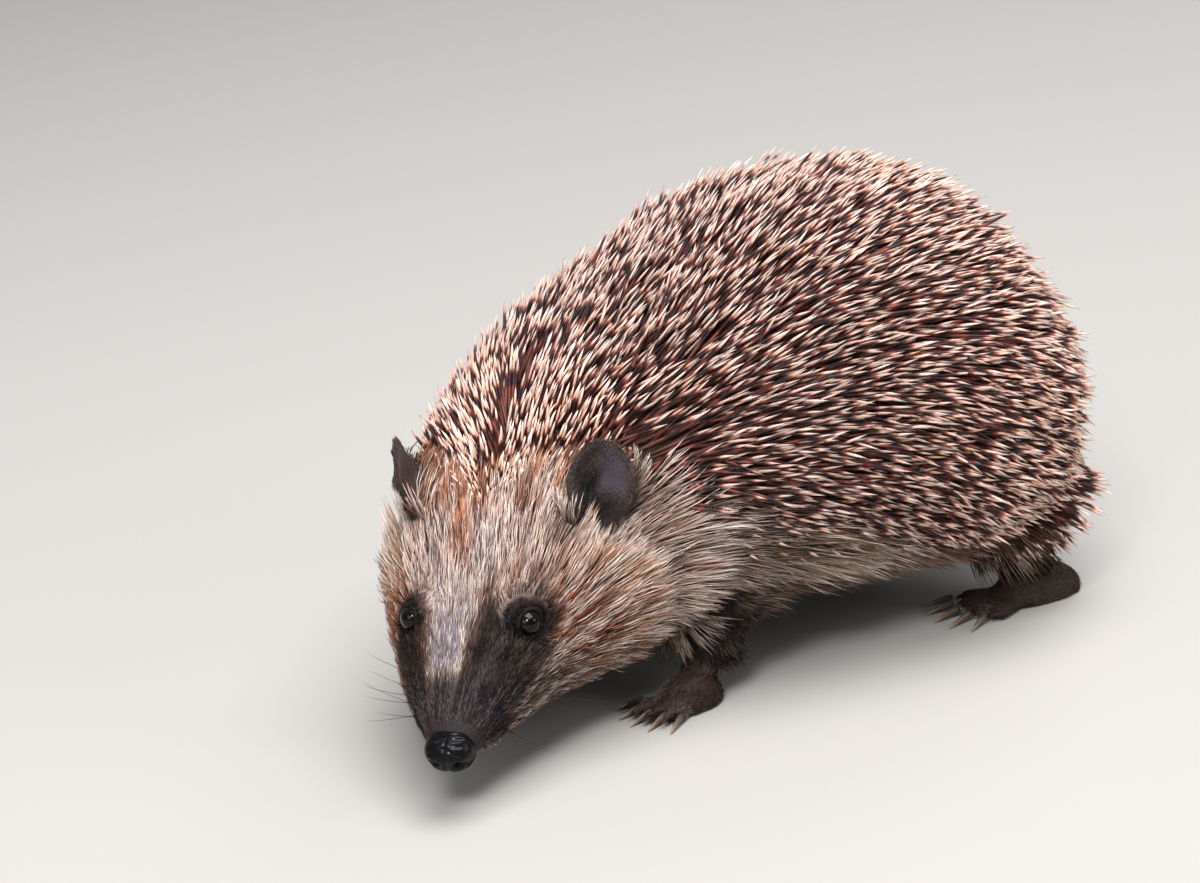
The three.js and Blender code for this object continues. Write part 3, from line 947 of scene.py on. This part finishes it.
def hair_length(body, near):
    """The hairs' length in millimetres."""
    run, turn = body["run"], body["round"]
    length = np.interp(run, *zip(*HAIR_LENGTH))
    forehead = band(run, 34, 70, 4) * (1 - ease(turn, 40, 66))
    length *= 1 - 0.24 * forehead
    blaze = band(run, 11, 34, 3) * (1 - ease(np.abs(body["across"] + 2), 3.5, 6.5)) * (body["up"] > 0)
    length += 1.8 * blaze
    length += 2.4 * band(run, 8, 32, 5) * ease(turn, 84, 110)
    length *= 1 - 0.3 * ease(turn, 128, 146)
    length = np.minimum(length, 1.0 + np.maximum(eye_distance(body["points"]) - 3.4, 0))
    length *= 1 - 0.42 * over_legs(body)
    for side in SIDES:  # short below the ears, so that the fold at their foot shows
        front, high, out = ear_place(body["points"], side)
        below = band(front, -1.3, 0.25, 0.25) * band(high, -1.4, -0.7, 0.2) * band(out, -3, 3, 1)
        length *= 1 - 0.62 * below
    for part, there in (("legs", 5.0), ("feet", 2.0), ("ears", 2.0), ("tail", 5.0), ("nose", 1.0)):
        length = length + (there - length) * near[part]
    return length


def over_legs(body):
    """1 low on the flank right above a leg, easing to 0 away from it."""
    close = np.zeros(len(body["points"]))
    for leg in LEGS:
        away = np.linalg.norm((body["points"] - ankle_of(leg))[:, :2], axis=1) / MM
        close = np.maximum(close, 1 - ease(away, 9, 21))
    return close * ease(body["round"], 88, 112)


def hair_half(length):
    """Half the thickness of a hair of the given length, both in millimetres."""
    return 0.092 + 0.0053 * length


def hair_ways(root, body, near, front):
    """The way that the coat lies at each root."""
    run, turn = body["run"], body["round"]
    sweep = 0.08 + 0.5 * ease(run, 46, 66) * band(turn, 116, 156, 14)
    way = body["back"] + DOWN * sweep[:, None]
    for side in SIDES:
        centre = eye_centre(side)
        away = root - centre
        close = 1 - ease(np.linalg.norm(away, axis=1) / MM, 4, 9)
        way = way + unit(away) * (1.3 * close)[:, None]
        *_, along = ear_frame(side)
        on_side = np.maximum(near["ears"], 0.6 * front) * (body["across"] * SIDES[side] > 0)
        way = way + (along * 1.6 - way) * on_side[:, None]
    way = way + (DOWN + 0.5 * body["back"] - way) * (near["legs"] ** 2)[:, None]
    for leg, foot in zip(LEGS, FEET):
        low, high = np.array(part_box(foot))
        over = (root > low - 3 * MM) & (root < high + 3 * MM)
        near_foot = over[:, 0] & over[:, 1]
        toes = ((low + high) / 2 - ankle_of(leg)) * (1, 1, 0)
        way = way + (unit(toes) + 0.3 * DOWN - way) * (near["feet"] * near_foot)[:, None]
    return way


def in_front_of_ear(root):
    """1 at the foot of the ears on the side of the face, where hair stands over them, the way that
    it stands, and 1 anywhere on that side of an ear."""
    amount, stand, beside = np.zeros(len(root)), np.zeros((len(root), 3)), np.zeros(len(root))
    for side in SIDES:
        centre, across, opening, along = ear_frame(side)
        away = root - centre
        ahead, front = (away @ opening) / MM, SIDES[side] * (away @ across) / MM
        far = np.linalg.norm(away, axis=1) / MM
        here = band(ahead, -4, 6, 2.5) * band(front, 2.5, 16, 2.5) * (1 - ease(far, 16, 23))
        tilt = (0.3 + 0.8 * ease(front, 4, 10))[:, None]
        stand_here = unit(along + 0.4 * opening - tilt * SIDES[side] * across)
        stand[here > 0] = stand_here[here > 0]
        amount = np.maximum(amount, here)
        beside = np.maximum(beside, ease(front, 1, 4) * (1 - ease(far, 14, 18)))
    return amount, stand, beside


def nose_frame():
    """The middle of the nose pad, and the directions left, back and dorsal there."""
    ways = np.array([AXIS["left"][0], AXIS["back"][0], AXIS["dorsal"][0]])
    return middle(node_points("nose")), ways


def on_nose_pad(points):
    """How far out points lie from the middle of the nose pad, 1 being its surface."""
    centre, ways = nose_frame()
    shares = (points - centre) / MM @ ways.T / NOSE_PAD
    shares[:, ::2] /= (1 - NOSE_TAPER * ease(shares[:, 1], 0, 1))[:, None]
    return (np.abs(shares) ** (2 / NOSE_BOXY)).sum(1) ** (NOSE_BOXY / 2)


STREAK_CELLS = (0.21, 0.065)  # cells of noise in a degree round the body and a millimetre along it


def streaks(body):
    """Runs of like-coloured hair down the coat, about 15 mm long and a tenth as wide on the face,
    ranked from 0 to 1."""
    round_it, along_it = body["turn"] * STREAK_CELLS[0], body["run"] * STREAK_CELLS[1]
    grain = zip(round_it.tolist(), along_it.tolist())
    level = np.array([noise.noise(Vector((a, b, 3.7))) for a, b in grain])
    rank = np.empty(len(level))
    rank[np.argsort(level)] = np.linspace(0, 1, len(level))
    return rank


def fur_density(form):
    """Hairs in a square millimetre at each triangle of the skin."""
    centre = form["centre"]
    body, near = on_body(centre), near_parts(centre)
    near["ears"] = near["ears"] ** 6
    length = hair_length(body, near)
    # how many times over the hairs would cover the skin, laid flat
    cover = 4.4 + 3.2 * ease(length, 6, 14)
    density = cover / (2 * hair_half(length) * length)
    ruff = 1 - ease(body["run"], 90, 130)
    bare = ease(beyond_spines(body) - 8 * ruff, 5, 14) * (1 - near["ears"])
    density *= (1 - bare) * (on_nose_pad(centre) > 1.02) * (eye_distance(centre) > 3.45)
    density *= 1 - 0.5 * np.maximum(near["feet"], near["legs"]) - 0.45 * ease(body["round"], 150, 170)
    density *= (1 - 0.2 * near["ears"]) * (1 - 0.75 * on_mouth(body, 0.7))
    return density * (1 - near["feet"] * (form["normals"][form["tris"][:, 0]][:, 2] < -0.5))


def locks_of(root, length):
    """For each hair, which hair its lock gathers towards."""
    lock_size = 0.8 + 0.11 * length
    lock = np.zeros(len(root), int)
    for low, high in zip(LOCK_LENGTHS, LOCK_LENGTHS[1:]):
        inside = np.nonzero((length >= low) & (length < high))[0]
        if len(inside) == 0:
            continue
        heads = inside[spread_out(root[inside], lock_size[inside].mean() * MM)]
        tree = KDTree(len(heads))
        for head in heads.tolist():
            tree.insert(root[head], head)
        tree.balance()
        lock[inside] = [tree.find(place)[1] for place in root[inside].tolist()]
    return lock


def hair_colours(body, near, colour, front):
    """The markings on the hairs. They differ, mostly streak by streak: some are cream, some rust,
    some dark, and those in front of the ears are paler. Above the legs the hair is darkened, and there and
    low on the belly it has fewer cream hairs, as painted shade."""
    run, count, over = body["run"], len(colour), over_legs(body)
    pale, rust, dark = (np.array(linear(c)) for c in ("#fbeee4", "#b5774f", "#453029"))
    kind = np.where(rng.uniform(0, 1, count) < 0.7, streaks(body), rng.uniform(0, 1, count))
    masked = np.maximum(1 - ease(colour.sum(1), 0.1, 0.6), near["ears"])
    masked *= 1 - 0.3 * np.maximum(near["feet"], near["legs"])
    # fewer cream hairs on the dark markings, and as painted shade low on the belly and above the legs
    dark_marks_and_shade = masked + (1 - masked) * np.maximum(0.6 * ease(body["round"], 122, 140), 0.8 * over)
    dark_marks_and_shade = 0.93 * dark_marks_and_shade - 0.07 * (1 - ease(run, 12, 18))
    rusty = (0.3 + 0.7 * (1 - ease(run, 60, 90))) * ease(run, 24, 36)
    before_ears = (0.34 - 0.14 * (body["across"] < 0)) * front
    # painted shade: hair low on the flank above each leg is darkened by up to 45%
    colour = colour * (1 - 0.45 * over)[:, None]
    for hue, amount in (
        (pale, 0.66 * (kind < 0.36) * (1 - dark_marks_and_shade)),
        (rust, 0.5 * ((kind > 0.5) & (kind < 0.66)) * (1 - masked) * rusty),
        (dark, 0.6 * (kind > 0.86) * (1 - masked)),
        (pale, before_ears * (kind < 0.7)),
    ):
        colour += (hue - colour) * amount[:, None]
    return colour


def grow_fur(form, material):
    """Hair everywhere but among the spines, each leaning towards its lock."""
    root, normal = scatter(form, fur_density(form))
    body, near = on_body(root), near_parts(root)
    colour = pelt_colour(body, {**near, "ears": near["ears"] ** 2})
    on_ear = ease(near["ears"], 0.25, 0.8)
    near["ears"] = near["ears"] ** 6  # only hairs right on an ear are as short as its own
    count = len(root)
    run, turn = body["run"], body["round"]
    length = hair_length(body, near)
    front, stand, beside = in_front_of_ear(root)
    at_ear = np.maximum(on_ear, front)
    front *= 1 - on_ear
    on_right = body["across"] < 0
    cheek = band(run, 32, 60, 6) * ease(turn, 52, 76)
    length = length * (1 - 0.05 * front) * (1 + 0.15 * on_right * cheek)
    way = hair_ways(root, body, near, front)
    # a wall facing forward at the foot of an ear leaves the hair no way to lie but up
    against = ease(-(unit(way) * normal).sum(1), 0.5, 0.9) * beside
    way = way + body["dorsal"] * against[:, None]
    forward = laid(way, normal, 7 + 3 * front)
    jaw = band(run, 6, 34, 5) * ease(turn, 84, 108)
    bridge = band(run, 8, 36, 5) * (1 - ease(turn, 30, 60))
    lift = 26 + (6 + 20 * on_right) * cheek + 10 * jaw - 8 * bridge
    lift += 7 * ease(run, 44, 60) * (1 - ease(turn, 40, 60)) - 8 * near["ears"] - 6 * near["feet"]
    # at the foot of an ear the hair can't lie down along it, so it stands
    lift += 60 * at_ear * ease((unit(way) * normal).sum(1), 0.4, 0.95)
    # and on the slope up to an ear it keeps to the slope
    inward = -np.sign(body["across"]) * (normal * body["left"]).sum(1)
    lift -= 24 * ease(inward, 0.1, 0.5) * beside
    lift = np.radians(lift + rng.normal(0, 5, count))[:, None]
    length = length * rng.uniform(0.66, 1.15, count)
    reach = forward * np.cos(lift) + normal * np.sin(lift)
    reach = unit(reach + (stand - reach) * (0.75 * front)[:, None]) * (length * MM)[:, None]
    reach[:, 2] = np.maximum(reach[:, 2], FLOOR_GAP - root[:, 2])
    fall = 0.1 * ease(length, 6, 18)
    bend = normal * (-0.48 * (1 - 0.6 * front) * np.sin(lift[:, 0]) * length * MM)[:, None]
    bend += DOWN * (fall * (1 - front) * length * MM)[:, None]
    hairs = {
        "root": root - normal * HAIR_ROOT, "reach": reach, "bend": bend, "normal": normal,
        "half": hair_half(length) * MM, "place": unrolled(body),
    }
    lock = locks_of(root, length)
    for key in ("root", "reach", "bend"):
        hairs[f"{key}_of_lock"] = hairs[key][lock]
    loose = (1 - 0.5 * ease(turn, 116, 136)) * (1 - 0.4 * front)
    hairs["gather"] = rng.uniform(0.15, 0.65, count) * ease(length, 1.5, 6) * loose
    hairs["pelt"] = hair_colours(body, near, colour, front)
    own, shared = rng.normal(0.5, 0.15, count), rng.normal(0, 0.16, count)[lock]
    hairs["tone"] = np.clip(own + shared, 0, 1)
    short = length < LONG_FROM
    for name, which, rings in (("short_fur", short, SHORT_HAIR), ("long_fur", ~short, LONG_HAIR)):
        part = {key: values[which] for key, values in hairs.items()}
        plant(name, drawn_rod(3, rings), part, HAIR_PATCH, material)


# ---- whiskers ----
WHISKERS = {"count": 16, "length": (10, 20), "half": 0.07, "apart": 2.6}  # millimetres
WHISKER_RINGS = ((0, 1.0), (0.2, 0.9), (0.4, 0.78), (0.6, 0.64), (0.8, 0.46), (1, 0))


def grow_whiskers(form, material):
    """Fine stiff hairs in rows on each side of the muzzle."""
    body = on_body(form["centre"])
    density = band(body["run"], 9, 21, 2) * band(body["round"], 66, 112, 8)
    root, normal = scatter(form, density * 2)
    keep = spread_out(root, WHISKERS["apart"] * MM)[: WHISKERS["count"]]
    root, normal = root[keep], normal[keep]
    body = on_body(root)
    count = len(root)
    forward = unit(normal + body["back"] * rng.uniform(0.2, 0.8, count)[:, None] + DOWN * 0.25)
    length = rng.uniform(*WHISKERS["length"], count) * MM
    hairs = {
        "root": root, "reach": forward * length[:, None],
        "bend": (body["back"] * 0.25 + DOWN * 0.12) * length[:, None], "normal": normal,
        "half": np.full(count, WHISKERS["half"] * MM), "place": unrolled(body),
        "pelt": np.tile(linear("#3a2c28"), (count, 1)), "tone": rng.uniform(0.2, 0.8, count),
    }
    plant("whiskers", drawn_rod(4, WHISKER_RINGS), hairs, HAIR_PATCH, material)


# ---- eyes, nose and claws ----
CORNEA = 0.1 * MM  # how far it stands out from the ball
NOSE_RIDGE = {"high": 0.13, "apart": 1.5}  # millimetres
CLAW_THICK = (0.1, 0.13)  # half width and half height as shares of a claw's length
CLAW_RINGS = ((0, 0.85), (0.15, 1.0), (0.4, 0.86), (0.65, 0.64), (0.85, 0.36), (1, 0))


def make_eye(side, material):
    """A polished ball with its cornea drawn out a little."""
    centre, (out, _) = eye_centre(side), eye_way(side)
    bpy.ops.object.select_all(action="DESELECT")
    bpy.ops.mesh.primitive_uv_sphere_add(segments=40, ring_count=24, radius=EYE_BALL)
    eye = bpy.context.object
    points = read(eye.data.vertices, "co")
    height = points[:, 2] / EYE_BALL
    points[:, 2] += CORNEA * ease(height, 0.55, 1.0)
    turned = np.array(Vector((0, 0, 1)).rotation_difference(Vector(out)).to_matrix())
    put_vertices(eye.data, points @ turned.T + centre)
    set_attribute(eye.data, "front", height)
    bpy.ops.object.shade_smooth()
    eye.name = f"eyeball_{side}"
    eye.data.materials.append(material)
    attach(eye, "root")
    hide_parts(f"eye_{side}")


def make_nose(material):
    """The wet pad: a rounded block with two nostrils that open sideways and a groove between."""
    bpy.ops.object.select_all(action="DESELECT")
    bpy.ops.mesh.primitive_uv_sphere_add(segments=96, ring_count=64, radius=1)
    pad = bpy.context.object
    ball = read(pad.data.vertices, "co")
    # x runs to the animal's left, y backward, z up, in half sizes
    boxy = np.sign(ball) * np.abs(ball) ** NOSE_BOXY
    boxy[:, ::2] *= (1 - NOSE_TAPER * ease(boxy[:, 1], 0, 1))[:, None]
    ball = boxy * NOSE_PAD
    x, y, z = ball.T
    front = ease(-y, -0.5, 3.0)
    side = np.abs(x)
    # nostrils: a pit towards the side of the front, drawn out backward as a comma
    pit = np.exp(-(((side - 3.1) / 1.15) ** 2 + ((z + 0.2) / 0.95) ** 2)) * front
    slit = np.exp(-(((z + 0.9 - 0.25 * y) / 0.45) ** 2)) * ease(side, 3.6, 4.8) * band(y, -3.4, 0.8, 0.8)
    groove = np.exp(-((x / 0.42) ** 2)) * front * (1 - 0.65 * ease(z, 0.5, 2.6))
    wing = np.exp(-(((side - 3.4) / 1.7) ** 2 + ((z - 1.7) / 1.2) ** 2)) * front
    ball -= unit(ball) * (2.3 * pit + 0.9 * slit + 0.5 * groove - 0.45 * wing)[:, None]
    # across the top run low wet ridges
    ridge = np.sin(y * 2 * math.pi / NOSE_RIDGE["apart"] + 1.6 * np.sin(x * 1.1 + 0.4 * y))
    ball[:, 2] += NOSE_RIDGE["high"] * ridge * ease(z, 1.2, 2.6) * (1 - ease(side, 3.4, 4.6))
    centre, ways = nose_frame()
    put_vertices(pad.data, centre + ball @ ways * MM)
    smooth_outwards(pad)
    pad.name = "nose_pad"
    pad.data.materials.append(material)
    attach(pad, "root")
    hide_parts("nose")


def drawn_claw():
    """One claw along -Y, drawn up from its root and curved down to its point."""
    claw = drawn_rod(9, CLAW_RINGS)
    x, y, t = claw["points"].T
    drop = 0.12 * t + 0.16 * t**2
    return {**claw, "points": np.stack([x * CLAW_THICK[0], -t, -y * CLAW_THICK[1] - drop], 1)}


def make_claws(material):
    """The five claws of each foot, in one piece a foot."""
    claw = drawn_claw()
    faces = np.split(claw["corners"], np.cumsum(claw["sizes"])[:-1])
    for leg, foot in zip(LEGS, FEET):
        points, polygons = [], []
        for turn, place in claw_places(leg):
            polygons += [(face + len(points) * len(claw["points"])).tolist() for face in faces]
            points.append(claw["points"] @ turn.T * TOES[leg[:4]]["claw"] * MM + place)
        mesh = bpy.data.meshes.new(f"claws_{foot}")
        mesh.from_pydata(np.concatenate(points).tolist(), [], polygons)
        set_attribute(mesh, "along", np.tile(-claw["points"][:, 1], len(points)))
        claws = bpy.data.objects.new(f"claws_{foot}", mesh)
        bpy.context.scene.collection.objects.link(claws)
        smooth_outwards(claws)
        mesh.materials.append(material)
        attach(claws, "root")


# ---- materials ----
MULTIPLY = {"data_type": "RGBA", "blend_type": "MULTIPLY"}


def skin_material():
    # haired skin: dull, faintly greasy, finely creased
    material, tree, surface = new_material(
        "haired_skin", Roughness=0.6, IOR=1.45, Specular_IOR_Level=0.2
    )
    place = node(tree, "TexCoord", output="Object")
    mottle = node(tree, "TexNoise", inputs={"Vector": place, "Scale": 420.0, "Detail": 4.0})
    shade = node(tree, "MapRange", inputs={"Value": mottle, "To Min": 0.4, "To Max": 0.8})
    pelt = node(tree, "Attribute", {"attribute_name": "pelt"}, output="Color")
    colour = node(tree, "Mix", MULTIPLY, {"Factor": 1.0, "A": pelt, "B": shade}, "Result")
    # creases about 0.6 mm apart
    crease = node(tree, "TexVoronoi", {"feature": "DISTANCE_TO_EDGE"}, {"Vector": place, "Scale": 1600.0})
    bump = node(tree, "Bump", inputs={"Height": crease, "Strength": 0.35, "Distance": 0.4 * MM})
    feed(surface, {"Base Color": colour, "Normal": bump})
    return material


def spine_material():
    # keratin quill: smooth and faintly waxy, with a dark band below a pale tip; towards its root it is
    # painted dark brown as painted shade deep in the coat
    material, tree, surface = new_material(
        "keratin_quill", Roughness=0.5, IOR=1.54, Specular_IOR_Level=0.3
    )
    along, shift, warm, tone = (
        node(tree, "Attribute", {"attribute_name": name}, output="Fac")
        for name in ("along", "shift", "warm", "tone")
    )
    moved = node(tree, "Math", {"operation": "SUBTRACT"}, {0: along, 1: shift})
    # the first stops, from the root up, are painted shade deep among the spines; the dark band and the pale
    # tip are the quill's own
    stops = (
        (0.0, "#48322a"), (0.3, "#7f5247"), (0.5, "#85443a"), (0.57, "#361b1d"),
        (0.715, "#2a151a"), (0.77, "#874a3c"), (0.815, "#deb9a8"), (1.0, "#fdece3"),
    )
    bands_and_root_shade = node(tree, "ValToRGB", inputs={"Fac": moved}, stops=stops)
    warmth = {"Factor": warm, "A": bands_and_root_shade, "B": (*linear("#f2c9ab"), 1)}
    tinted = node(tree, "Mix", MULTIPLY, warmth, "Result")
    tones = {"Value": tone, "From Max": TONE_TOP, "To Min": 0.54, "To Max": 1.26}
    shade = node(tree, "MapRange", inputs=tones)
    colour = node(tree, "Mix", MULTIPLY, {"Factor": 1.0, "A": tinted, "B": shade}, "Result")
    feed(surface, {"Base Color": colour})
    return material


def fur_material():
    # guard hair: soft gloss, darker at the root and paler towards the tip
    material, tree, surface = new_material(
        "guard_hair", Roughness=0.58, IOR=1.55, Specular_IOR_Level=0.1
    )
    along, tone = (
        node(tree, "Attribute", {"attribute_name": name}, output="Fac") for name in ("along", "tone")
    )
    stops = ((0.0, "#5f524c"), (0.4, "#c4b8b0"), (0.8, "#ffffff"))
    root_to_tip_ramp = node(tree, "ValToRGB", inputs={"Fac": along}, stops=stops)
    shade = node(tree, "MapRange", inputs={"Value": tone, "To Min": 0.75, "To Max": 1.3})
    colour = node(tree, "Attribute", {"attribute_name": "pelt"}, output="Color")
    for factor in (root_to_tip_ramp, shade):
        colour = node(tree, "Mix", MULTIPLY, {"Factor": 1.0, "A": colour, "B": factor}, "Result")
    feed(surface, {"Base Color": colour})
    return material


def nose_material():
    # wet black rhinarium: pebbled in cells about 0.4 mm across under a film of water
    material, tree, surface = new_material(
        "wet_nose_leather", Roughness=0.45, Specular_IOR_Level=0.05, Coat_Weight=0.4,
        Coat_IOR=1.36, Coat_Roughness=0.1,
    )
    place = node(tree, "TexCoord", output="Object")
    cells = node(tree, "TexVoronoi", {"feature": "F1"}, {"Vector": place, "Scale": 2300.0})
    colour = node(tree, "ValToRGB", inputs={"Fac": cells}, stops=((0.0, "#0e0d10"), (1.0, "#060507")))
    bump = node(tree, "Bump", inputs={"Height": cells, "Strength": 0.4, "Distance": 0.16 * MM})
    feed(surface, {"Base Color": colour, "Normal": bump})
    return material


def eye_material():
    # living eye: near black iris under a clear wet cornea
    material, tree, surface = new_material(
        "dark_iris_under_cornea", Roughness=0.04, IOR=1.376, Specular_IOR_Level=0.4
    )
    front = node(tree, "Attribute", {"attribute_name": "front"}, output="Fac")
    stops = ((0.0, "#0c0808"), (0.72, "#120b09"), (0.86, "#0c0706"), (0.9, "#030203"), (1.0, "#020202"))
    colour = node(tree, "ValToRGB", inputs={"Fac": front}, stops=stops)
    feed(surface, {"Base Color": colour})
    return material


def claw_material():
    # claw horn: dark brown, polished by wear, paler towards its point
    material, tree, surface = new_material(
        "claw_horn", Roughness=0.35, IOR=1.54, Specular_IOR_Level=0.5
    )
    place = node(tree, "TexCoord", output="Object")
    grain = node(tree, "TexNoise", inputs={"Vector": place, "Scale": 900.0, "Detail": 3.0})
    shade = node(tree, "MapRange", inputs={"Value": grain, "To Min": 0.75, "To Max": 1.15})
    along = node(tree, "Attribute", {"attribute_name": "along"}, output="Fac")
    stops = ((0.0, "#3d302a"), (0.6, "#6b5747"), (1.0, "#a38d74"))
    horn = node(tree, "ValToRGB", inputs={"Fac": along}, stops=stops)
    colour = node(tree, "Mix", MULTIPLY, {"Factor": 1.0, "A": horn, "B": shade}, "Result")
    feed(surface, {"Base Color": colour})
    return material


# ---- the animal ----
add_camera()
add_studio()
skin = make_skin(skin_material())
eye_gloss = eye_material()
for side in SIDES:
    make_eye(side, eye_gloss)
make_nose(nose_material())
make_claws(claw_material())
form = skin_form(skin)
grow_spines(form, spine_material())
guard_hair = fur_material()
grow_fur(form, guard_hair)
grow_whiskers(form, guard_hair)
